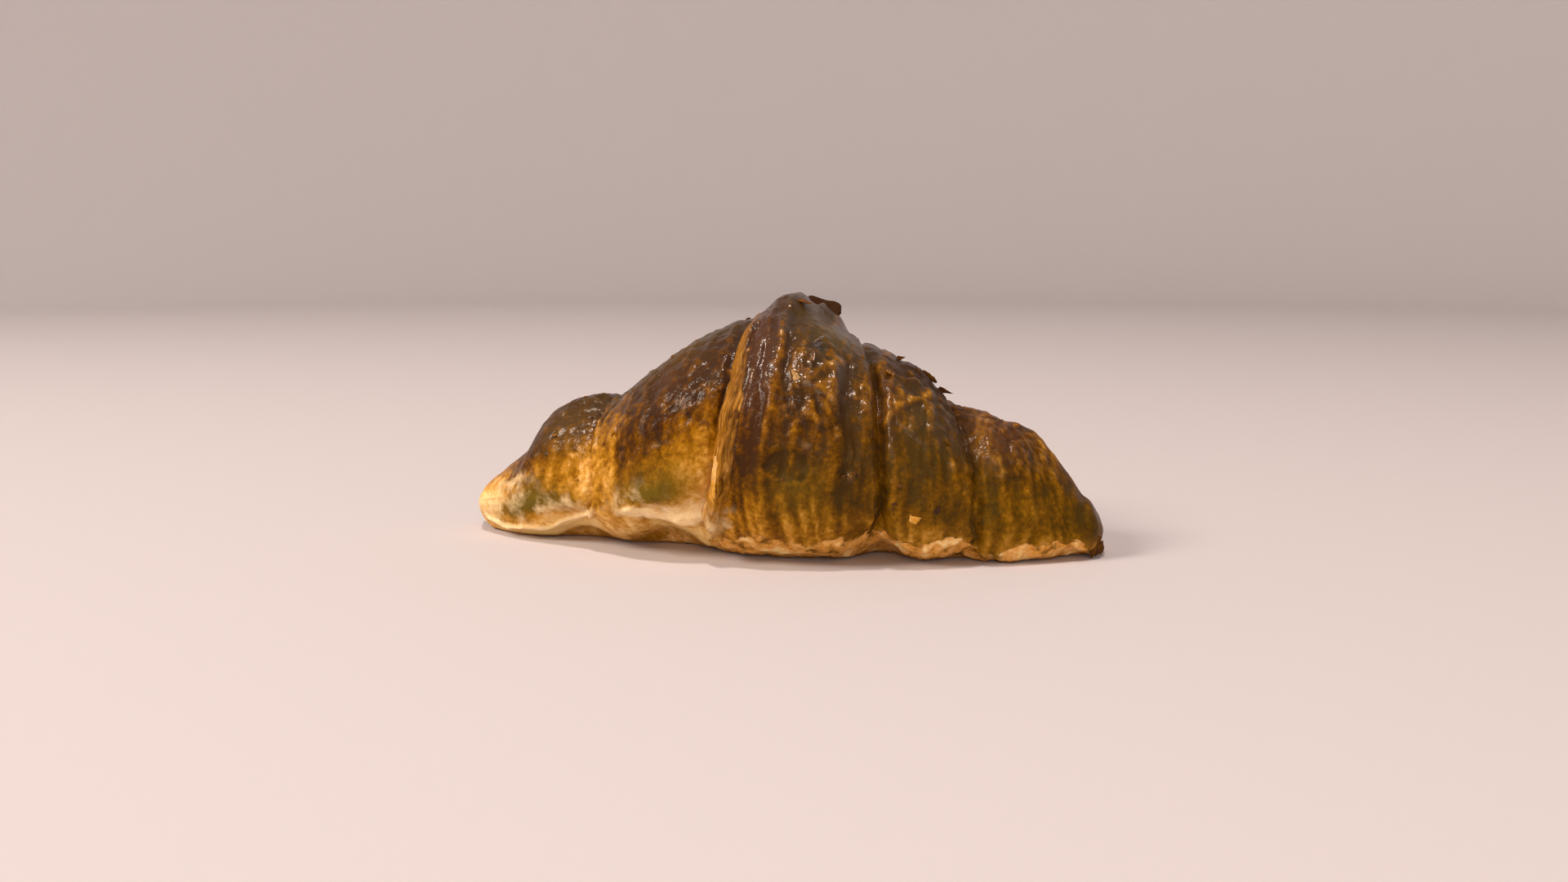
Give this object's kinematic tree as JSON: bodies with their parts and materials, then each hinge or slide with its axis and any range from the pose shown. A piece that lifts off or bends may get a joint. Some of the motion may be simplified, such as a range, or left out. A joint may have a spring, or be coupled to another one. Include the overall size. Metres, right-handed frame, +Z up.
{
  "type": "croissant",
  "caption": "Baked butter croissant: one rolled, crescent-bent pastry with stepped dough layers, rounded tips and a flat underside to rest on.",
  "frame": {"origin": "middle of the underside, centred under the croissant's box", "axes": "+X along the roll from the pointed tip to the blunt tip, -Y out of the front (the outer side of the bend), +Z up"},
  "size_m": [0.17, 0.0716, 0.0647],
  "materials": {
    "crust": "satin"
  },
  "bodies": {
    "root": {"croissant": "crust"}
  },
  "joints": []
}
